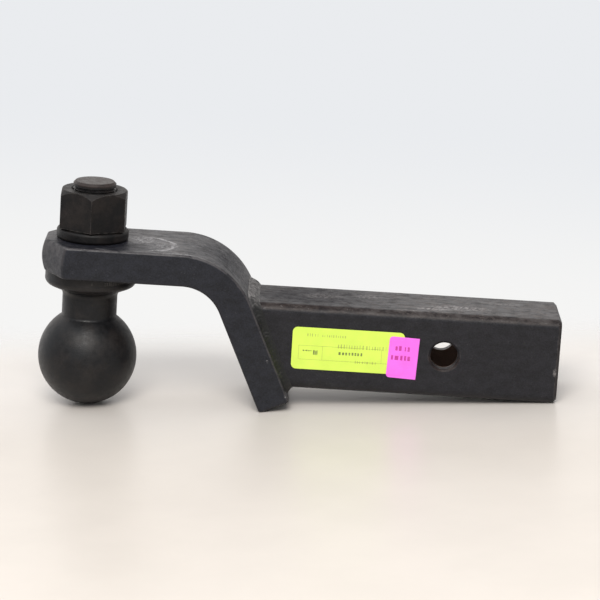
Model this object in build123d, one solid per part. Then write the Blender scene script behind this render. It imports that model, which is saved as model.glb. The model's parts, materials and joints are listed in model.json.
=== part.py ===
from build123d import *
from math import cos, radians, sin, tan
import os

# A welded ball mount for a 2 inch trailer-hitch receiver, with a 2-5/16 inch ball bolted through its tongue.
# Frame: the origin is the centre of the hitch-pin hole, on the shank's centreline.
# +X runs along the shank to its open end, +Y across it, and +Z to the tongue's side that carries the nut.
# Driving dimensions are in millimetres and degrees.

inch = 25.4

# Square shank tube
tube_side = 2 * inch
tube_wall = inch / 4
tube_corner = 5.0
tube_inner_corner = 1.5
tube_end_x = 68.0
tube_end_chamfer = 1.8
pin_bore_radius = 8.15
pin_bore_chamfer = 1.3

# Bent tongue bar
bar_width = 2.5 * inch
bar_thickness = 0.75 * inch
tongue_top_z = 52.9
knee_x = -127.8
leg_angle = 65.8
leg_length = 93.3
knee_outer_radius = 46.4
knee_inner_radius = 24.9
foot_round = 1.8
bar_edge_round = 1.6
ball_x = -211.4
tongue_hole_radius = 12.95
nose_reach = 26.8
nose_flat = 21.0
nose_clip_angle = 57.5
nose_tip_bulge = (0.0, 2.0, -0.3)
nose_tip_round = 5.0
nose_shoulder_bulge = (0.0, 1.6, 1.0)
nose_shoulder_round = 3.5

# Weld fillets between shank and leg
weld_leg = 4.9
weld_root = 0.8

# Trailer ball, one forging: ball, neck, flange and stud
ball_radius = (2 + 5 / 16) * inch / 2
ball_centre_z = -18.65
ball_flat_radius = 5.0
neck_radius = 16.3
neck_blend = 2.0
flange_radius = 27.0
flange_rim = 4.4
flange_edge = (24.6, 8.9)
flange_root = 12.6
flange_blend = 4.5
stud_radius = 12.65
stud_top_z = 87.5
stud_chamfer = 1.3
stud_land = 1.7
thread_pitch = inch / 14
thread_grooves = 19
thread_crest = thread_pitch / 8
thread_flank = thread_pitch * 5 / 16
thread_depth = thread_flank / tan(radians(30))

# Lock washer and nut
washer_outer_radius = 21.3
washer_inner_radius = 13.1
washer_thickness = 6.2
washer_edge_round = 1.7
washer_split = 1.2
washer_split_angle = 125.0
washer_split_lean = 22.0
nut_across_flats = 1.5 * inch
nut_height = 23.4
nut_bore_radius = 12.8
nut_chamfer_angle = 45.0
nut_crown_radius = 18.9
nut_face_radius = 18.3
nut_face_height = 0.7
nut_countersink = 1.2

# Paper labels on the shank's -Y face
label_thickness = 0.2
label_lap = 0.4
yellow_size = (66.0, 25.4)
yellow_corner = 3.0
yellow_centre = (-56.8, 0.0)
pink_size = (17.6, 25.0)
pink_corner = 2.0
pink_centre = (-24.3, -2.4)
pink_turn = -2.4

# Derived planes of the leg: its back face carries the shank
down_leg = Vector(cos(radians(leg_angle)), 0, -sin(radians(leg_angle)))
out_of_leg = Vector(sin(radians(leg_angle)), 0, cos(radians(leg_angle)))
knee_corner = Vector(knee_x, 0, tongue_top_z)
leg_back = Plane(origin=knee_corner, x_dir=down_leg, z_dir=out_of_leg)
tongue_bottom_z = tongue_top_z - bar_thickness
nut_seat_z = tongue_top_z + washer_thickness


def at_ball(shape):
    """Move a shape modelled on the Z axis to the ball's axis."""
    return Pos(ball_x, 0, 0) * shape


def bar_blank():
    """The flat bar bent at the knee, longer than the tongue and with square edges."""
    foot_back = knee_corner + down_leg * leg_length
    foot_front = foot_back - out_of_leg * bar_thickness
    inner_knee_x = knee_x - bar_thickness * tan(radians(leg_angle / 2))
    blank_end_x = ball_x - 2 * nose_reach
    corners = [
        (blank_end_x, tongue_top_z),
        (knee_x, tongue_top_z),
        (foot_back.X, foot_back.Z),
        (foot_front.X, foot_front.Z),
        (inner_knee_x, tongue_bottom_z),
        (blank_end_x, tongue_bottom_z),
    ]
    outline = make_face(Polyline(*corners, close=True))
    rounds = [knee_outer_radius, foot_round, foot_round, knee_inner_radius]
    for corner, radius in zip(corners[1:5], rounds):
        outline = fillet(outline.vertices().sort_by_distance(corner)[0], radius=radius)
    return extrude(Plane.XZ * outline, amount=bar_width / 2, both=True)


def nose_section(level, tip_bulge, shoulder_bulge):
    """Plan of the whole bar at one level, with a blunt tip between two clipped corners."""
    tip_x = ball_x - nose_reach - tip_bulge
    spread = bar_width / 2 + inch - nose_flat / 2
    shoulder_shift = (shoulder_bulge - tip_bulge) * 2 * spread / (bar_width - nose_flat)
    shoulder_x = tip_x + spread / tan(radians(nose_clip_angle)) - shoulder_shift
    half = nose_flat / 2 + spread
    tip_corners = [(tip_x, -nose_flat / 2), (tip_x, nose_flat / 2)]
    points = [(tube_end_x, -half), (shoulder_x, -half), *tip_corners, (shoulder_x, half), (tube_end_x, half)]
    plan = make_face(Polyline(*points, close=True))
    rounded = [plan.vertices().sort_by_distance(corner)[0] for corner in tip_corners]
    return Pos(0, 0, level) * fillet(rounded, radius=nose_tip_round)


def side_edges(bar):
    """Edges that lie in the bar's two side faces."""
    return bar.edges().filter_by(lambda edge: abs(abs(edge.center().Y) - bar_width / 2) < 0.01)


def tongue_bar():
    """Bent bar with its shaped nose, rounded edges and the hole for the ball's stud."""
    top = tongue_top_z + 0.5
    levels = (top, (top + tongue_bottom_z) / 2, tongue_bottom_z - 0.5)
    nose = loft([nose_section(*section) for section in zip(levels, nose_tip_bulge, nose_shoulder_bulge)])
    leg_space = Box(20 * inch, 4 * inch, 4 * inch, align=(Align.MIN, Align.CENTER, Align.MAX))
    bar = bar_blank() & (nose + Pos(ball_x, 0, tongue_bottom_z - 0.5) * leg_space)
    bar = fillet(side_edges(bar).sort_by(Axis.X)[:2], radius=nose_shoulder_round)
    bar = fillet(side_edges(bar), radius=bar_edge_round)
    hole = Pos(ball_x, 0, tongue_top_z - bar_thickness / 2) * Cylinder(tongue_hole_radius, 2 * bar_thickness)
    return bar - hole


def shank_outline(side, corner):
    """Rounded square section of the shank, across X."""
    return Plane.YZ * RectangleRounded(side, side, corner)


def behind_leg():
    """Everything on the tongue's side of the leg's back face."""
    return extrude(leg_back * Rectangle(20 * inch, 20 * inch), amount=-10 * inch)


def shank_blank():
    """The shank's outside as a plain bar, longer than the tube at the tongue's end."""
    length = tube_end_x - knee_x + inch
    return Pos(tube_end_x - length, 0, 0) * extrude(shank_outline(tube_side, tube_corner), amount=length)


def shank_tube():
    """Square tube, mitred to the leg at one end and open at the other, with the hitch-pin hole."""
    outside = shank_blank()
    rim = outside.faces().sort_by(Axis.X)[-1].outer_wire().edges()
    outside = chamfer(rim, length=tube_end_chamfer)
    hollow = shank_outline(tube_side - 2 * tube_wall, tube_inner_corner)
    inside = extrude(hollow, amount=10 * inch, both=True)
    tube = outside - inside - behind_leg()
    tube -= Rot(90, 0, 0) * Cylinder(pin_bore_radius, 2 * tube_side)
    sink = Cone(pin_bore_radius, pin_bore_radius + pin_bore_chamfer, pin_bore_chamfer)
    sink = Pos(0, 0, tube_side / 2 - pin_bore_chamfer / 2) * sink
    for turn in (-90, 90):
        tube -= Rot(turn, 0, 0) * sink
    return tube


def joint_section(grow, height):
    """The shank's mitred outline grown all round, at a height above the leg's back face."""
    slope = sin(radians(leg_angle))
    shank_centre_x = knee_x + tongue_top_z / tan(radians(leg_angle)) + height / slope
    plane = Plane(origin=(shank_centre_x, 0, 0), x_dir=down_leg, z_dir=out_of_leg)
    return plane * RectangleRounded(
        tube_side / slope + 2 * grow, tube_side + 2 * grow, tube_corner + grow
    )


def weld_collar(bar):
    """Sloping collar of weld metal round the joint, rooted in both members and trimmed to their faces."""
    below = joint_section(weld_leg + weld_root, -weld_root)
    above = joint_section(-weld_root, weld_leg + weld_root)
    return loft([below, above], ruled=True) - bar - shank_blank()


def weld_passes(bar):
    """The collar split at the shank's corners into the four passes that lay it down."""
    collar = weld_collar(bar)
    reach = 4 * inch
    passes = {}
    for name, turn in (("weld_top", 0), ("weld_far_side", 90), ("weld_bottom", 180), ("weld_near_side", 270)):
        wedge = make_face(Polyline((0, 0), (reach, reach), (-reach, reach), close=True))
        wedge = extrude(Plane.YZ * Rot(0, 0, -turn) * wedge, amount=20 * inch, both=True)
        passes[name] = collar & wedge
    return passes


def thread_profile():
    """Outline of the stud from below the thread to its bevelled end, with one ring groove for each pitch."""
    crest, root = stud_radius, stud_radius - thread_depth
    top = stud_top_z - stud_chamfer - stud_land
    points = [(crest - stud_chamfer, stud_top_z), (crest, stud_top_z - stud_chamfer)]
    for groove in range(thread_grooves):
        upper = top - groove * thread_pitch
        lower = upper - thread_pitch + thread_crest
        points += [(crest, upper), (root, upper - thread_flank), (root, lower + thread_flank), (crest, lower)]
    return points[::-1]


def hitch_ball():
    """Ball, neck, flange and threaded stud turned from one forging."""
    neck_foot_z = ball_centre_z + (ball_radius**2 - neck_radius**2) ** 0.5
    flat_z = ball_centre_z - (ball_radius**2 - ball_flat_radius**2) ** 0.5
    rim_z = tongue_bottom_z - flange_rim
    edge = (flange_edge[0], tongue_bottom_z - flange_edge[1])
    neck_top = (neck_radius, tongue_bottom_z - flange_root)
    bulge = ((flange_radius + edge[0]) / 2 + 0.8, (rim_z + edge[1]) / 2 - 0.6)
    mid_ball = (ball_radius, ball_centre_z)
    lines = [
        Line((0, flat_z), (ball_flat_radius, flat_z)),
        ThreePointArc((ball_flat_radius, flat_z), mid_ball, (neck_radius, neck_foot_z)),
        Line((neck_radius, neck_foot_z), neck_top),
        Line(neck_top, edge),
        ThreePointArc(edge, bulge, (flange_radius, rim_z)),
        Line((flange_radius, rim_z), (flange_radius, tongue_bottom_z)),
        Polyline((flange_radius, tongue_bottom_z), (stud_radius, tongue_bottom_z), *thread_profile()),
        Polyline((stud_radius - stud_chamfer, stud_top_z), (0, stud_top_z), (0, flat_z)),
    ]
    outline = make_face([edge for line in lines for edge in line.edges()])
    outline = fillet(outline.vertices().sort_by_distance((neck_radius, neck_foot_z))[0], radius=neck_blend)
    outline = fillet(outline.vertices().sort_by_distance(neck_top)[0], radius=flange_blend)
    return at_ball(revolve(Plane.XZ * outline, axis=Axis.Z))


def lock_washer():
    """Split spring washer, squeezed flat by the nut, with its slanted cut on the far side."""
    ring = Cylinder(washer_outer_radius, washer_thickness)
    ring -= Cylinder(washer_inner_radius, 2 * washer_thickness)
    rims = ring.edges().filter_by(GeomType.CIRCLE).group_by(SortBy.RADIUS)[-1]
    ring = fillet(rims, radius=washer_edge_round)
    cut = Pos(washer_outer_radius, 0, 0) * Rot(washer_split_lean, 0, 0) * Box(
        2 * (washer_outer_radius - washer_inner_radius) + 4, washer_split, 4 * washer_thickness
    )
    ring -= Rot(0, 0, washer_split_angle) * cut
    return at_ball(Pos(0, 0, tongue_top_z + washer_thickness / 2) * ring)


def hex_nut():
    """Hexagon nut with a bevelled top, a thin washer face under it and a countersunk bore."""
    hexagon = RegularPolygon(nut_across_flats / 2, 6, major_radius=False, rotation=90)
    blank = extrude(hexagon, amount=nut_height)
    corner_radius = nut_across_flats / 2 / cos(radians(30)) + 1
    drop = (corner_radius - nut_crown_radius) * tan(radians(nut_chamfer_angle))
    crown = make_face(
        Polyline(
            (0, 0),
            (nut_face_radius, 0),
            (nut_face_radius, nut_face_height),
            (corner_radius, nut_face_height),
            (corner_radius, nut_height - drop),
            (nut_crown_radius, nut_height),
            (0, nut_height),
            close=True,
        )
    )
    nut = blank & revolve(Plane.XZ * crown, axis=Axis.Z)
    nut -= Pos(0, 0, nut_height / 2) * Cylinder(nut_bore_radius, 2 * nut_height)
    sink = Cone(nut_bore_radius, nut_bore_radius + nut_countersink, nut_countersink)
    nut -= Pos(0, 0, nut_height - nut_countersink / 2) * sink
    nut -= Pos(0, 0, nut_countersink / 2) * Rot(180, 0, 0) * sink
    return at_ball(Pos(0, 0, nut_seat_z) * nut)


def label_sheet(outline, centre, turn, layer):
    """A sheet of paper on the shank's -Y face, or one or more layers of paper above it."""
    plane = Plane(origin=(0, -tube_side / 2 - layer * label_thickness, 0), x_dir=(1, 0, 0), z_dir=(0, -1, 0))
    return extrude(plane * Pos(*centre) * Rot(0, 0, turn) * outline, amount=label_thickness)


def pink_outline():
    """Rounded at the end that laps over the yellow label, and cut square at the other."""
    square_end = Pos(pink_size[0] / 4, 0) * Rectangle(pink_size[0] / 2, pink_size[1])
    return RectangleRounded(*pink_size, pink_corner) + square_end


def labels():
    """A wide yellow label and a narrow pink one that laps over its end."""
    yellow = label_sheet(RectangleRounded(*yellow_size, yellow_corner), yellow_centre, 0, 0)
    lapped = RectangleRounded(*(side + 2 * label_lap for side in yellow_size), yellow_corner)
    over_yellow = label_sheet(lapped, yellow_centre, 0, 1)
    pink_low = label_sheet(pink_outline(), pink_centre, pink_turn, 0)
    pink_high = label_sheet(pink_outline(), pink_centre, pink_turn, 1)
    return yellow, (pink_low - yellow) + (pink_high & over_yellow)


os.makedirs("parts", exist_ok=True)

bar_solid = tongue_bar()
yellow_label, pink_label = labels()
parts = {
    "tongue_bar": bar_solid,
    "shank_tube": shank_tube(),
    **weld_passes(bar_solid),
    "hitch_ball": hitch_ball(),
    "lock_washer": lock_washer(),
    "hex_nut": hex_nut(),
    "yellow_label": yellow_label,
    "pink_label": pink_label,
}
for node, shape in parts.items():
    export_step(shape, f"parts/{node}.step")
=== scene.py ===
import bmesh
import bpy
import json
import math
import random
from mathutils import Matrix, Vector, noise


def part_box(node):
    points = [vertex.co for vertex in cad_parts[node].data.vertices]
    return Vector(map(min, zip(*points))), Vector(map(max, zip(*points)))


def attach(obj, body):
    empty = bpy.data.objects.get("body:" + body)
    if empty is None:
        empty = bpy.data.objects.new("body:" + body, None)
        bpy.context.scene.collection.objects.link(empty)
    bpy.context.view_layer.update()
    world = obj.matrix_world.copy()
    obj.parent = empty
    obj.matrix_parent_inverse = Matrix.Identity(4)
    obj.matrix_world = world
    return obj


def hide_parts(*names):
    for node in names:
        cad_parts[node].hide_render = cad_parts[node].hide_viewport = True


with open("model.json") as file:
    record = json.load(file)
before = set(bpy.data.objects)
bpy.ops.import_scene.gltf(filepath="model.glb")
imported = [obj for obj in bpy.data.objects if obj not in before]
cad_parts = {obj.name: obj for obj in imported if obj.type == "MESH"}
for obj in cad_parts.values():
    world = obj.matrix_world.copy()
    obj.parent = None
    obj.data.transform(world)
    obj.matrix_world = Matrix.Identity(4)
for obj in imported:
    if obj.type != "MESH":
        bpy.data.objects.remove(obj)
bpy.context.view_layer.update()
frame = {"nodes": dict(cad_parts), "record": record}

MM = 0.001
rng = random.Random(11)


# ---------------------------------------------------------------- places taken from the frame

mounts = {mount["name"]: mount for mount in frame["record"]["mounts"]}
tube_low, tube_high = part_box("shank_tube")
bar_low, bar_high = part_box("tongue_bar")
ball_low, ball_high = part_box("hitch_ball")
yellow_low, yellow_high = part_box("yellow_label")
pink_low, pink_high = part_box("pink_label")

ball_centre = Vector(mounts["coupler_ball"]["pos_m"])
ball_radius = (ball_high.x - ball_low.x) / 2
tube_half = tube_high.z

# heights of the upper faces, in millimetres, for placing marks
bar_top = bar_high.z / MM
tube_top = tube_high.z / MM
stud_top = ball_high.z / MM

# how the weld beads are laid
weld_size = 4.9 * MM
weld_ripple = 2.4 * MM
weld_ripple_depth = 0.16 * MM

# how far the floor reaches before it fades into the backdrop, and the chamfer that the shank's end rests on
floor_reach_back = 0.19
floor_reach = 0.62
heel_chamfer = 1.8 * MM

# where the camera stands, its lens in millimetres, and how it is turned, in degrees
camera_place = (-0.10378, -1.69881, 0.44844)
camera_lens = 176.66
camera_yaw = -0.582
camera_down = 14.074
camera_roll = 3.609

# ticks on the rim of the ball's flange, in millimetres and degrees
flange_radius = 27.0
tick_sunk = 0.3
tick_proud = 0.18
tick_top = 32.0
lone_tick = -84.5
tick_row_start = -68
tick_row_sweep = 30
tick_row_count = 12


# ---------------------------------------------------------------- node graphs

class Graph:
    """Short calls for wiring the nodes of one material or world."""

    def __init__(self, tree, place="Object"):
        self.tree = tree
        self.tree.nodes.clear()
        self.place = self.node("ShaderNodeTexCoord").outputs[place]

    def node(self, kind, inputs=None, **settings):
        made = self.tree.nodes.new(kind)
        for key, value in settings.items():
            setattr(made, key, value)
        for key, value in (inputs or {}).items():
            self.feed(made.inputs[key], value)
        return made

    def feed(self, socket, value):
        if isinstance(value, bpy.types.NodeSocket):
            self.tree.links.new(value, socket)
        elif isinstance(value, tuple) and len(value) == 3 and socket.type == "RGBA":
            socket.default_value = (*value, 1.0)
        else:
            socket.default_value = value

    def math(self, operation, a, b=0.0):
        return self.node("ShaderNodeMath", {0: a, 1: b}, operation=operation).outputs[0]

    def times(self, *factors):
        product = factors[0]
        for factor in factors[1:]:
            product = self.math("MULTIPLY", product, factor)
        return product

    def vector(self, operation, a, b=(0.0, 0.0, 0.0)):
        made = self.node("ShaderNodeVectorMath", {0: a, 1: b}, operation=operation)
        return made.outputs["Value" if operation in ("LENGTH", "DOT_PRODUCT") else "Vector"]

    def axes(self, vector):
        made = self.node("ShaderNodeSeparateXYZ", {0: vector})
        return made.outputs["X"], made.outputs["Y"], made.outputs["Z"]

    def noise(self, size, detail=4.0, roughness=0.55, stretch=(1.0, 1.0, 1.0), seed=0.0, turn=0.0):
        """Noise from 0 to 1, features about size millimetres wide, stretched along axes turned about Z."""
        turned = {"Vector": self.place, "Rotation": (0.0, 0.0, math.radians(turn))}
        flat = self.node("ShaderNodeMapping", turned).outputs[0]
        scale = tuple(1.0 / (size * s * MM) for s in stretch)
        spread = {"Vector": flat, "Scale": scale, "Location": (seed, -seed, 2 * seed)}
        mapped = self.node("ShaderNodeMapping", spread).outputs[0]
        inputs = {"Vector": mapped, "Scale": 1.0, "Detail": detail, "Roughness": roughness}
        return self.node("ShaderNodeTexNoise", inputs).outputs["Fac"]

    def band(self, value, low, high, to_low=0.0, to_high=1.0):
        """Smooth step of value from low to high."""
        inputs = {"Value": value, "From Min": low, "From Max": high, "To Min": to_low, "To Max": to_high}
        return self.node("ShaderNodeMapRange", inputs, interpolation_type="SMOOTHSTEP").outputs[0]

    def mix(self, factor, a, b, blend="MIX"):
        made = self.node("ShaderNodeMix", data_type="RGBA", blend_type=blend)
        self.feed(made.inputs[0], factor)
        self.feed(made.inputs[6], a)
        self.feed(made.inputs[7], b)
        return made.outputs[2]

    def shade(self, colour, amount):
        """Colour multiplied by a plain value."""
        grey = self.node("ShaderNodeCombineColor", {0: amount, 1: amount, 2: amount}).outputs[0]
        return self.mix(1.0, colour, grey, "MULTIPLY")

    def spot(self, centre, size, softness=0.5):
        """1 near a place in the row frame and 0 outside; centre and size are in millimetres."""
        offset = self.vector("SUBTRACT", self.place, tuple(v * MM for v in centre))
        scaled = self.vector("DIVIDE", offset, tuple(v * MM for v in size))
        return self.band(self.vector("LENGTH", scaled), 1.0, 1.0 - softness)

    def bump(self, height, distance, normal=None):
        """Relief whose full depth is distance millimetres."""
        inputs = {"Height": height, "Strength": 1.0, "Distance": distance * MM}
        if normal is not None:
            inputs["Normal"] = normal
        return self.node("ShaderNodeBump", inputs).outputs[0]


class Surface(Graph):
    """A material's graph, ending in one Principled shader."""

    def __init__(self, name):
        self.material = bpy.data.materials.new(name)
        self.material.use_nodes = True
        super().__init__(self.material.node_tree)
        self.output = self.node("ShaderNodeOutputMaterial")
        self.normal = self.node("ShaderNodeNewGeometry").outputs["Normal"]

    def upward(self):
        """1 on faces that look up, 0 on faces that look sideways or down."""
        return self.band(self.axes(self.normal)[2], 0.25, 0.9)

    def rim(self):
        """1 on the rounded long edges between a top or bottom face and a side face."""
        across = self.math("ABSOLUTE", self.axes(self.normal)[1])
        return self.times(self.band(across, 0.08, 0.35), self.band(across, 0.99, 0.85))

    def edges(self, radius, low=0.995, high=0.88):
        """Bright along sharp edges, from the bevel node; radius is in millimetres."""
        bevel = self.node("ShaderNodeBevel", {"Radius": radius * MM}, samples=6).outputs[0]
        return self.band(self.vector("DOT_PRODUCT", bevel, self.normal), low, high)

    def finish(self, colour, roughness, normal, specular=0.5, **more):
        inputs = {"Base Color": colour, "Roughness": roughness, "Normal": normal}
        inputs["Specular IOR Level"] = specular
        inputs.update(more)
        shader = self.node("ShaderNodeBsdfPrincipled", inputs).outputs[0]
        self.tree.links.new(shader, self.output.inputs["Surface"])
        return self.material


# ---------------------------------------------------------------- materials

def scuffed(s, colour, wear, marks):
    """Ragged light marks: centre and size in millimetres, and strength."""
    ragged = s.band(s.noise(1.6, 5.0, 0.7, (1.0, 2.6, 1.0), turn=20.0), 0.42, 0.58)
    for centre, size, level in marks:
        colour = s.mix(s.times(s.spot(centre, size, 0.75), ragged, level), colour, wear)
    return colour


def ring_scuff(s, colour, wear, centre, radius):
    """A ragged half ring, open towards -X, where something round was dragged; sizes in millimetres."""
    offset = s.vector("SUBTRACT", s.place, tuple(v * MM for v in centre))
    x, y, z = s.axes(offset)
    reach = s.math("POWER", s.math("ADD", s.times(x, x), s.times(y, y)), 0.5)
    wander = s.band(s.noise(9, 3.0, seed=2.7), 0.3, 0.7, -1.6 * MM, 1.6 * MM)
    width = s.math("ABSOLUTE", s.math("SUBTRACT", s.math("ADD", reach, wander), radius * MM))
    ring = s.times(s.band(width, 1.7 * MM, 0.2 * MM), s.band(x, -4 * MM, 6 * MM))
    ring = s.times(ring, s.band(z, -2 * MM, -0.5 * MM), s.band(s.noise(3.4, 4.0, 0.7), 0.32, 0.52))
    return s.mix(s.times(ring, s.band(s.noise(0.9, 5.0, 0.75), 0.34, 0.54)), colour, wear)


def painted_steel(name, paint, dust, wear, rim, grain, marks, painted_shade_spots, ring=None, inside=None):
    """Thin black paint over rolled steel: streaky dust on upper faces, worn rims, scratches and scuffs, and
    spots of painted shade.

    Grain is the dust streaks' size, their length over their width and their angle to X.
    The shade spots are places and sizes of painted shade, with less dust and shine there; inside is a depth
    and its rust.
    """
    plain_gloss, top_gloss = 0.3, 0.42
    s = Surface(name)
    fine = s.noise(0.8, 3.0)
    cloud = s.noise(13, 5.0, 0.6)
    patch = s.noise(4.5, 5.0, 0.65, (1.6, 1.0, 1.0), 3.7)
    streak = s.noise(grain[0], 5.0, 0.72, (grain[1], 1.0, 1.0), 1.9, grain[2])
    # painted shade: each listed spot lowers lit, which takes dust and shine away there
    lit = 1.0
    for centre, size in painted_shade_spots:
        lit = s.times(s.math("SUBTRACT", 1.0, s.times(s.spot(centre, size, 0.8), 0.85)), lit)
    up = s.upward()

    tone = s.math("ADD", s.band(patch, 0.25, 0.75, 0.70, 1.30), s.band(fine, 0.2, 0.8, -0.40, 0.40))
    colour = s.shade(paint, tone)
    dusty = s.times(up, lit, s.band(cloud, 0.36, 0.62, 0.30, 1.0), s.band(streak, 0.40, 0.64))
    colour = s.mix(dusty, colour, dust)
    upper = s.band(s.axes(s.normal)[2], -0.2, 0.3, 0.1, 1.0)
    worn_rim = s.times(s.rim(), s.band(patch, 0.36, 0.58, 0.35, 1.0), upper)
    colour = s.mix(worn_rim, colour, rim)
    colour = s.mix(s.times(s.edges(1.2), s.band(patch, 0.42, 0.64), 0.3), colour, wear)
    scratch = s.noise(0.7, 3.0, 0.6, (26.0, 1.0, 1.0), 9.1, 24.0)
    crossed = s.noise(0.6, 3.0, 0.6, (22.0, 1.0, 1.0), 4.6, -31.0)
    lines = s.math("MAXIMUM", s.band(scratch, 0.64, 0.72), s.band(crossed, 0.66, 0.74))
    lines = s.times(lines, s.band(cloud, 0.40, 0.62), s.band(up, 0, 1, 0.1, 0.8))
    colour = scuffed(s, s.mix(lines, colour, wear), wear, marks)
    if ring:
        colour = ring_scuff(s, colour, wear, *ring)

    rough = s.math("ADD", s.band(streak, 0.3, 0.7, 0.34, 0.56), s.band(fine, 0.2, 0.8, -0.05, 0.05))
    if inside:
        x, y, z = s.axes(s.place)
        depth = s.math("MAXIMUM", s.math("ABSOLUTE", y), s.math("ABSOLUTE", z))
        hollow = s.band(depth, inside[0] + 0.4 * MM, inside[0])
        colour = s.mix(hollow, colour, inside[1])
        rough = s.math("MAXIMUM", rough, hollow)

    relief = s.bump(cloud, 0.35)
    relief = s.bump(patch, 0.12, relief)
    relief = s.bump(streak, 0.06, relief)
    relief = s.bump(fine, 0.10, relief)
    gloss = s.times(lit, s.band(patch, 0.36, 0.64, 0.35, 1.5), s.band(streak, 0.34, 0.66, 0.55, 1.3))
    gain = s.math("SUBTRACT", s.times(gloss, top_gloss), plain_gloss)
    gloss = s.math("ADD", plain_gloss, s.times(up, gain))
    return s.finish(colour, rough, relief, gloss)


def black_oxide(name, base, sheen, edge, edge_level, rough=(0.45, 0.6), shine=0.3, rusty=None):
    """Oxide-blacked machined steel: cloudy, brownish patches, fine turning marks, brighter worn edges.

    Rusty is a height in millimetres above which the steel has browned, and the colour there.
    """
    s = Surface(name)
    cloud = s.noise(12, 5.0, 0.6)
    blotch = s.noise(3.5, 5.0, 0.65, seed=4.4)
    fine = s.noise(0.6, 3.0, seed=2.0)
    turned = s.noise(0.5, 2.0, 0.5, (30.0, 30.0, 1.0), 6.1)
    colour = s.mix(s.band(cloud, 0.36, 0.66), base, sheen)
    tone = s.math("ADD", s.band(blotch, 0.25, 0.75, 0.70, 1.30), s.band(fine, 0.2, 0.8, -0.25, 0.25))
    colour = s.shade(colour, tone)
    if rusty:
        high = s.band(s.axes(s.place)[2], (rusty[0] - 0.5) * MM, (rusty[0] + 0.5) * MM)
        colour = s.mix(s.times(high, s.band(blotch, 0.3, 0.6, 0.5, 1.0)), colour, rusty[1])
    worn = s.times(s.edges(0.9), s.band(blotch, 0.36, 0.6))
    colour = s.mix(s.times(worn, edge_level), colour, edge)
    relief = s.bump(cloud, 0.25)
    relief = s.bump(fine, 0.08, relief)
    relief = s.bump(turned, 0.035, relief)
    return s.finish(colour, s.band(blotch, 0.25, 0.75, *rough), relief, shine)


def weld_metal(name):
    """Painted weld bead: coloured darker than the bar's paint as painted shade for the recess it fills, and
    dusty grey where it faces up.
    """
    s = Surface(name)
    fine = s.noise(0.7, 4.0, 0.65)
    patch = s.noise(5, 4.0, 0.6, seed=2.2)
    # painted shade: the bead's colour runs darker than the bar's paint, standing for the shade in the
    # recess between leg and shank
    colour = s.mix(s.band(fine, 0.35, 0.7), (0.0045, 0.0048, 0.0044), (0.0130, 0.0126, 0.0120))
    drag = s.noise(1.5, 5.0, 0.7, (1.0, 2.4, 1.0), 7.1)
    dusty = s.times(s.upward(), s.band(patch, 0.36, 0.58, 0.25, 1.0), s.band(drag, 0.36, 0.60, 0.2, 1.0))
    colour = s.mix(dusty, colour, (0.165, 0.154, 0.150))
    relief = s.bump(fine, 0.12, s.bump(patch, 0.3))
    return s.finish(colour, s.band(fine, 0.3, 0.7, 0.42, 0.58), relief)


def label_paper(name, colour, worn):
    """Fluorescent coated paper with faint fibres, a little rubbed, and a faint painted glow standing for
    its fluorescence.
    """
    s = Surface(name)
    fibre = s.noise(0.45, 4.0, 0.6, (3.0, 1.0, 1.0))
    cloud = s.noise(11, 3.0)
    tint = s.shade(colour, s.band(cloud, 0.3, 0.7, 0.95, 1.03))
    tint = s.mix(s.band(fibre, 0.55, 0.8, 0.0, 0.16), tint, worn)
    relief = s.bump(fibre, 0.02, s.bump(cloud, 0.12))
    # painted light: a faint emission of the paper's own colour makes it glow, standing for its fluorescence
    glow = {"Emission Color": colour, "Emission Strength": 0.03}
    return s.finish(tint, s.band(cloud, 0.3, 0.7, 0.45, 0.6), relief, 0.35, **glow)


def label_ink(name, colour, paper):
    """Thin printing ink, broken up so that the paper shows through."""
    s = Surface(name)
    speck = s.noise(0.3, 3.0)
    tint = s.mix(s.band(speck, 0.45, 0.7, 0.0, 0.6), colour, paper)
    return s.finish(tint, 0.55, s.bump(speck, 0.01))


def floor_paint(name):
    """Pale warm floor with a low shine, coloured lighter towards the back as painted light, which fades
    into the backdrop behind and all round.
    """
    s = Surface(name)
    x, y, z = s.axes(s.place)
    cloud = s.noise(70, 5.0, 0.6)
    # painted light: the floor is coloured darker towards the front and lighter towards the back
    colour = s.mix(s.band(y, -0.12, 0.06), (0.640, 0.585, 0.530), (0.712, 0.668, 0.626))
    colour = s.shade(colour, s.band(cloud, 0.3, 0.7, 0.975, 1.015))
    inputs = {"Base Color": colour, "Roughness": 0.36, "Specular IOR Level": 0.42}
    solid = s.node("ShaderNodeBsdfPrincipled", inputs).outputs[0]
    clear = s.node("ShaderNodeBsdfTransparent").outputs[0]
    behind = s.band(y, 0.4 * floor_reach_back, floor_reach_back)
    around = s.band(s.vector("LENGTH", s.place), 0.6 * floor_reach, floor_reach)
    blend = s.node("ShaderNodeMixShader", {0: s.math("MAXIMUM", behind, around), 1: solid, 2: clear})
    s.tree.links.new(blend.outputs[0], s.output.inputs["Surface"])
    return s.material


# ---------------------------------------------------------------- mesh helpers

def new_piece(name, points, faces, material, body=None):
    """A smooth mesh object from points and faces, given its material and body."""
    mesh = bpy.data.meshes.new(name)
    mesh.from_pydata([tuple(p) for p in points], [], faces)
    mesh.materials.append(material)
    mesh.update()
    mesh.shade_smooth()
    piece = bpy.data.objects.new(name, mesh)
    bpy.context.scene.collection.objects.link(piece)
    if body:
        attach(piece, body)
    return piece


def close_up(piece, sharp_angle=40):
    """Merge doubled points, turn every face outward, and keep sharp edges sharp."""
    mesh = bmesh.new()
    mesh.from_mesh(piece.data)
    bmesh.ops.remove_doubles(mesh, verts=mesh.verts, dist=1e-7)
    bmesh.ops.recalc_face_normals(mesh, faces=mesh.faces)
    mesh.to_mesh(piece.data)
    mesh.free()
    piece.data.set_sharp_from_angle(angle=math.radians(sharp_angle))


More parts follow.
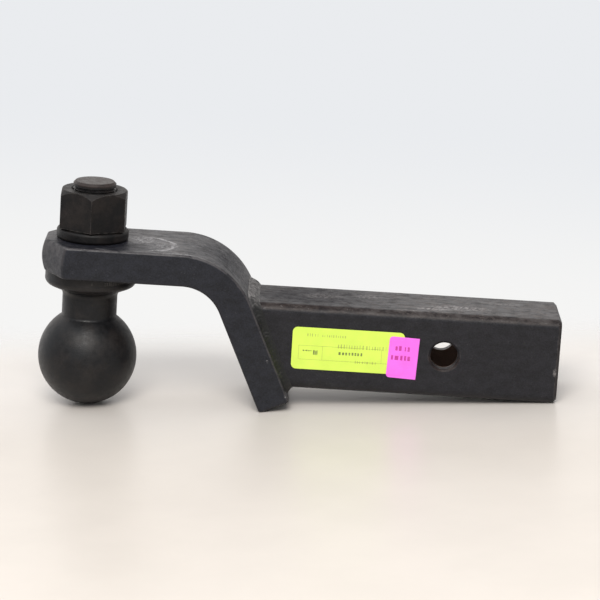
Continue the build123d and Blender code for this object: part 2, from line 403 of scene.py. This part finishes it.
def paint_node(node, material):
    """Give a carried-over CAD node its finished material."""
    piece = frame["nodes"][node]
    piece.data.materials.clear()
    piece.data.materials.append(material)


# ---------------------------------------------------------------- floor, lights, camera

def rest_plane():
    """Tilt and height of the flat floor that the ball and the shank's open end both touch."""
    heel_x = tube_high.x - heel_chamfer
    reach = heel_x - ball_centre.x
    drop = tube_low.z - ball_centre.z
    tilt = math.asin(ball_radius / math.hypot(reach, drop)) + math.atan2(drop, reach)
    return tilt, tube_low.z - heel_x * math.tan(tilt)


def build_floor():
    """A round sheet, tilted so that the ball and the shank's end rest on it."""
    tilt, height = rest_plane()
    middle_x = (bar_low.x + tube_high.x) / 2
    rings, spokes = 24, 96
    points, faces = [Vector((0, 0, 0))], []
    for ring in range(1, rings + 1):
        radius = floor_reach * ring / rings
        for spoke in range(spokes):
            angle = 2 * math.pi * spoke / spokes
            points.append(Vector((radius * math.cos(angle), radius * math.sin(angle), 0)))
    for spoke in range(spokes):
        after = (spoke + 1) % spokes
        faces.append((0, 1 + spoke, 1 + after))
        for ring in range(rings - 1):
            row = 1 + ring * spokes
            faces.append((row + spoke, row + spokes + spoke, row + spokes + after, row + after))
    floor = new_piece("floor", points, faces, floor_paint("floor_paint"))
    floor.rotation_euler = (0, -tilt, 0)
    floor.location = (middle_x, 0, height + middle_x * math.tan(tilt))


def build_world():
    """A white backdrop for the camera, and a soft studio that lights the object from behind and above."""
    world = bpy.data.worlds.new("studio")
    world.use_nodes = True
    w = Graph(world.node_tree, "Generated")
    x, y, z = w.axes(w.place)
    backdrop = w.mix(w.band(z, -0.18, -0.245), (0.822, 0.838, 0.862), (0.915, 0.913, 0.905))

    rays = w.node("ShaderNodeLightPath").outputs
    wall = w.band(rays["Is Glossy Ray"], 0.0, 1.0, 0.26, 0.66)
    behind = w.times(w.band(y, -0.25, 0.7), wall)
    above = w.times(w.band(z, 0.15, 0.9), 0.75)
    light = w.math("MAXIMUM", behind, above)
    light = w.math("ADD", w.times(light, w.band(x, 0.06, 0.42, 1.0, 0.15)), 0.50)
    tint = w.mix(w.band(y, 0.2, 0.8), (0.925, 0.960, 1.0), (1.0, 0.970, 0.950))
    studio = w.shade(tint, light)

    seen = rays["Is Camera Ray"]
    glow = w.node("ShaderNodeBackground", {"Color": w.mix(seen, studio, backdrop), "Strength": 1.0})
    output = w.node("ShaderNodeOutputWorld")
    w.tree.links.new(glow.outputs[0], output.inputs["Surface"])
    bpy.context.scene.world = world


def area_light(name, place, aim, size, power, colour):
    """A round soft light that faces a point."""
    data = bpy.data.lights.new(name, "AREA")
    data.shape = "DISK"
    data.size = size
    data.energy = power
    data.color = colour
    light = bpy.data.objects.new(name, data)
    light.location = place
    light.rotation_euler = (Vector(aim) - Vector(place)).to_track_quat("-Z", "Y").to_euler()
    bpy.context.scene.collection.objects.link(light)


def build_lights():
    middle = ((bar_low.x + tube_high.x) / 2, 0.0, 0.0)
    area_light("key", (-0.30, -1.15, 1.15), middle, 0.9, 20.0, (1.0, 0.97, 0.925))


def build_camera():
    """Looks down a little on the -Y side, rolled because the shank's end rides high on the tilted floor."""
    data = bpy.data.cameras.new("camera")
    data.sensor_width = 36.0
    data.lens = camera_lens
    data.clip_start = 0.05
    data.clip_end = 60.0
    camera = bpy.data.objects.new("camera", data)
    yaw = Matrix.Rotation(math.radians(camera_yaw), 3, "Z")
    pitch = Matrix.Rotation(math.radians(90 - camera_down), 3, "X")
    roll = Matrix.Rotation(math.radians(camera_roll), 3, "Z")
    camera.rotation_euler = (yaw @ pitch @ roll).to_euler()
    camera.location = camera_place
    bpy.context.scene.collection.objects.link(camera)
    bpy.context.scene.camera = camera


# ---------------------------------------------------------------- bar, shank, ball, nut and washer

def finish_bar():
    marks = [
        ((-181, 2, bar_top), (12, 14, 3), 0.55),
        ((-168, -12, bar_top), (12, 18, 3), 0.35),
        ((-150, -29, bar_top), (40, 2.2, 3), 0.4),
        ((-112, 6, 25), (9, 30, 14), 0.4),
        ((-104, -31.7, -8), (1.2, 1, 1.2), 0.8),
        ((-92, -31.7, -29), (1.0, 1, 1.6), 0.8),
    ]
    paint, dust = (0.0118, 0.0125, 0.0172), (0.060, 0.053, 0.052)
    wear, rim = (0.30, 0.29, 0.295), (0.055, 0.050, 0.052)
    # painted shade: darker, duller spots on the knee and on the bar's top round the washer
    painted_shade_spots = [((-128, 0, 38), (44, 50, 30)), ((-206, -17, bar_top), (46, 24, 8))]
    ring = ((-179, -9, bar_top), 17)
    steel = painted_steel("bar_paint", paint, dust, wear, rim, (1.9, 2.0, 55), marks, painted_shade_spots, ring)
    paint_node("tongue_bar", steel)


def finish_shank():
    marks = [
        ((8, -8, tube_top), (24, 7, 3), 0.75),
        ((-8, -14, tube_top), (14, 3.5, 3), 0.9),
        ((-46, 6, tube_top), (12, 8, 3), 0.35),
        ((36, 8, tube_top), (16, 6, 3), 0.3),
        ((-72, 2, tube_top), (20, 10, 3), 0.3),
        ((66, -tube_top, -6), (2.0, 1.2, 3.0), 0.7),
    ]
    paint, dust = (0.0122, 0.0118, 0.0148), (0.070, 0.057, 0.052)
    wear, rim = (0.24, 0.22, 0.215), (0.021, 0.0130, 0.0108)
    # painted shade: a darker, duller spot on the left part of the shank's top, next to the leg
    painted_shade_spots = [((-84, 0, tube_top), (70, 44, 12))]
    inside = (tube_half - 6.0 * MM, (0.23, 0.160, 0.128))
    steel = painted_steel("tube_paint", paint, dust, wear, rim, (2.4, 1.6, 14), marks, painted_shade_spots, None, inside)
    paint_node("shank_tube", steel)


def finish_ball():
    base, sheen, edge = (0.0060, 0.0060, 0.0070), (0.0140, 0.0118, 0.0112), (0.075, 0.062, 0.057)
    rusty = (stud_top - 2.0, (0.028, 0.019, 0.0165))
    steel = black_oxide("ball_black", base, sheen, edge, 0.45, (0.36, 0.52), 0.3, rusty)
    paint_node("hitch_ball", steel)


def flange_point(azimuth, radius, z):
    """A place on the flange's rim; azimuth in degrees about the ball's axis, sizes in millimetres."""
    angle = math.radians(azimuth)
    return ball_centre.x + radius * MM * math.cos(angle), radius * MM * math.sin(angle), z * MM


def build_flange_marks():
    """Plain struck ticks round the rim of the ball's flange, in place of its markings."""
    spacing = tick_row_sweep / (tick_row_count - 1)
    azimuths = [lone_tick]
    azimuths += [tick_row_start + spacing * i + rng.uniform(-0.7, 0.7) for i in range(tick_row_count)]
    points, faces = [], []
    for azimuth in azimuths:
        half = rng.uniform(0.5, 0.95)
        top, bottom = tick_top, rng.uniform(29.9, 30.3)
        base = len(points)
        for radius in (flange_radius - tick_sunk, flange_radius + tick_proud):
            for turn, z in ((-half, bottom), (half, bottom), (half, top), (-half, top)):
                points.append(flange_point(azimuth + turn, radius, z))
        faces.append(tuple(base + i for i in (3, 2, 1, 0)))
        faces.append(tuple(base + 4 + i for i in range(4)))
        for i in range(4):
            j = (i + 1) % 4
            faces.append((base + i, base + j, base + 4 + j, base + 4 + i))
    base, sheen, edge = (0.030, 0.028, 0.027), (0.050, 0.046, 0.043), (0.09, 0.08, 0.075)
    metal = black_oxide("mark_steel", base, sheen, edge, 0.5)
    close_up(new_piece("flange_marks", points, faces, metal, "ball"), 20)


def finish_fasteners():
    base, sheen, edge = (0.0050, 0.0045, 0.0047), (0.0125, 0.0096, 0.0086), (0.090, 0.078, 0.072)
    paint = black_oxide("fastener_black", base, sheen, edge, 0.6, (0.42, 0.60), 0.24)
    paint_node("hex_nut", paint)
    paint_node("lock_washer", paint)


# ---------------------------------------------------------------- weld beads

def leg_line():
    """X of the leg's back face on the shank's centreline, and its fall back for each metre of height."""
    tube = [vertex.co for vertex in frame["nodes"]["shank_tube"].data.vertices]
    top_x = min(p.x for p in tube if p.z > 0.99 * tube_half)
    bottom_x = min(p.x for p in tube if p.z < -0.99 * tube_half)
    return (top_x + bottom_x) / 2, (bottom_x - top_x) / (2 * tube_half)


class ShankOutline:
    """The shank's rounded square, walked side by side where it meets the leg's back face."""

    corner = 5.0 * MM

    def __init__(self):
        self.leg_x, self.lean = leg_line()
        self.leg_normal = Vector((1, 0, self.lean)).normalized()
        self.flat = tube_half - self.corner
        self.side_length = 2 * (self.flat + self.corner * math.pi / 4)

    def at(self, side, along):
        """Joint point, outward direction on the leg, and the shank's normal.

        Sides go from the top towards -Y.
        """
        sign = math.copysign(1, along)
        turn = max(abs(along) - self.flat, 0) / self.corner
        reach = min(abs(along), self.flat) + self.corner * math.sin(turn)
        height = self.flat + self.corner * math.cos(turn)
        spin = Matrix.Rotation(side * math.pi / 2, 3, "X")
        across = spin @ Vector((0, -sign * reach, height))
        normal = spin @ Vector((0, -sign * math.sin(turn), math.cos(turn)))
        joint = Vector((self.leg_x - self.lean * across.z, across.y, across.z))
        tangent = self.leg_normal.cross(normal).normalized()
        return joint, tangent.cross(self.leg_normal), normal


def weld_ring(outline, side, along):
    """One closed cross-section of the bead: a crowned face between two toes, and a root in the steel."""
    joint, outward, normal = outline.at(side, along)
    shank = Vector((1, 0, 0))
    walked = side * outline.side_length + along
    wobble = noise.noise(Vector((walked / (7 * MM), 3.1, 0)))
    wander = noise.noise(Vector((walked / (11 * MM), 8.4, 0)))
    on_top = max(normal.z, 0)
    leg_reach = weld_size * (1 + 0.12 * wobble)
    shank_reach = 1.04 * weld_size * (1 + 0.10 * wander)
    fullness = 0.36 + 0.26 * on_top + 0.05 * wobble
    depth = weld_ripple_depth * (0.6 + 1.6 * on_top)
    swell = (outward + shank).normalized()
    bury = 0.5 * MM
    skim = 0.12 * MM
    toe_on_leg = joint + outward * leg_reach - outline.leg_normal * skim
    toe_on_shank = joint + shank * shank_reach - normal * skim
    crown = joint + (outward * leg_reach + shank * shank_reach) * fullness
    ring = [joint + outward * leg_reach * 0.9 - outline.leg_normal * bury]
    steps = 14
    for step in range(steps + 1):
        u = step / steps
        point = toe_on_leg * (1 - u) ** 2 + crown * 2 * u * (1 - u) + toe_on_shank * u**2
        arch = math.sin(math.pi * u)
        phase = (walked + 1.6 * MM * arch + 1.3 * MM * wobble) / weld_ripple
        scallop = abs(math.sin(math.pi * phase)) - 0.5
        lump = noise.noise(Vector((walked / (3.2 * MM), 2.2 * u, 5.5)))
        ring.append(point + swell * depth * (scallop * (0.25 + 0.75 * arch) + 1.4 * lump * arch))
    ring.append(joint + shank * shank_reach * 0.9 - normal * bury)
    ring.append(joint - (outline.leg_normal + normal) * bury)
    return ring


def build_weld(outline, side, node, metal):
    """A rippled bead along one side of the shank, standing for that pass of the CAD weld."""
    count = 190
    half = outline.side_length / 2
    rings = [weld_ring(outline, side, half * (2 * i / count - 1)) for i in range(count + 1)]
    width = len(rings[0])
    points = [point for ring in rings for point in ring]
    faces = [tuple(range(width))[::-1], tuple(count * width + i for i in range(width))]
    for i in range(count):
        for j in range(width):
            a, b = i * width + j, i * width + (j + 1) % width
            faces.append((a, b, b + width, a + width))
    bead = new_piece(node + "_bead", points, faces, metal, "mount")
    close_up(bead, 70)
    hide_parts(node)


def build_welds():
    metal = weld_metal("weld_paint")
    outline = ShankOutline()
    for side, node in enumerate(("weld_top", "weld_near_side", "weld_bottom", "weld_far_side")):
        build_weld(outline, side, node, metal)


# ---------------------------------------------------------------- labels

class Print:
    """Thin raised printing on a label, laid out in millimetres to the right of and below a corner."""

    height = 0.04 * MM

    def __init__(self, corner, turn, surface_y):
        self.corner = Vector(corner)
        self.turn = Matrix.Rotation(math.radians(turn), 2)
        self.surface_y = surface_y
        self.points, self.faces = [], []

    def patch(self, corners):
        """A thin flat patch with the given corners."""
        flat = [self.corner + self.turn @ Vector((u * MM, -v * MM)) for u, v in corners]
        y = self.surface_y(sum(p.x for p in flat) / len(flat))
        base, count = len(self.points), len(flat)
        for lift in (0.0, self.height):
            self.points += [(p.x, y - lift, p.y) for p in flat]
        self.faces.append(tuple(base + i for i in range(count)))
        self.faces.append(tuple(base + 2 * count - 1 - i for i in range(count)))
        for i in range(count):
            j = (i + 1) % count
            self.faces.append((base + i, base + count + i, base + count + j, base + j))

    def rule(self, left, top, right, bottom):
        """A ruled line or bar between two corners."""
        self.patch([(left, top), (right, top), (right, bottom), (left, bottom)])

    def words(self, left, right, top, height, width, gap):
        """A row of short upright bars in place of lettering."""
        u = left
        while u < right - 0.3 * width:
            end = min(u + width * rng.uniform(0.55, 1.5), right)
            self.rule(u, top + height * rng.uniform(0, 0.2), end, top + height)
            u = end + gap * rng.uniform(0.8, 1.4)

    def build(self, name, ink):
        close_up(new_piece(name, self.points, self.faces, ink, "mount"), 20)


def on_yellow(x):
    return yellow_low.y


def on_pink(x):
    return pink_low.y if x < yellow_high.x else yellow_low.y


def print_yellow(paper):
    """A ruled box with faint and dark rows of bars."""
    corner = (yellow_low.x, yellow_high.z)
    faint = Print(corner, 0, on_yellow)
    line, upper, lower = 0.22, 10.9, 19.3
    faint.rule(3.9, upper, 53.0, upper + line)
    faint.rule(3.9, lower, 58.0, lower + line)
    for u in (3.9, 17.9, 52.8):
        faint.rule(u, upper, u + line, lower)
    faint.words(8.6, 15.2, 3.4, 1.9, 0.5, 0.9)
    faint.words(17.5, 31.5, 3.8, 1.5, 0.5, 0.8)
    faint.words(27.0, 55.5, 9.0, 2.6, 0.55, 1.0)
    faint.words(37.5, 50.5, 18.6, 1.6, 0.6, 0.8)
    faint.build("yellow_print_faint", label_ink("faint_ink", (0.42, 0.50, 0.10), paper))
    dark = Print(corner, 0, on_yellow)
    dark.words(27.6, 41.6, 13.6, 2.0, 0.9, 0.7)
    dark.words(12.6, 15.2, 13.4, 3.0, 0.9, 0.25)
    dark.words(6.4, 11.8, 13.6, 0.8, 0.9, 0.5)
    dark.build("yellow_print_dark", label_ink("dark_ink", (0.12, 0.15, 0.05), paper))


def print_pink(paper):
    """Two rows of bars, turned with the label."""
    rows = Print((pink_low.x + 0.5 * MM, pink_high.z), -2.4, on_pink)
    rows.words(4.4, 13.6, 5.2, 3.0, 1.3, 0.8)
    rows.words(2.4, 13.6, 11.0, 2.9, 1.6, 0.8)
    rows.build("pink_print", label_ink("pink_ink", (0.50, 0.02, 0.25), paper))


def finish_labels():
    yellow, pink = (0.66, 0.86, 0.115), (0.90, 0.165, 0.80)
    paint_node("yellow_label", label_paper("yellow_paper", yellow, (0.95, 1.0, 0.5)))
    paint_node("pink_label", label_paper("pink_paper", pink, (1.0, 0.5, 0.95)))
    print_yellow(yellow)
    print_pink(pink)


bpy.context.scene.view_settings.view_transform = "Standard"
build_world()
build_lights()
build_floor()
build_camera()
finish_bar()
finish_shank()
finish_ball()
build_flange_marks()
finish_fasteners()
build_welds()
finish_labels()
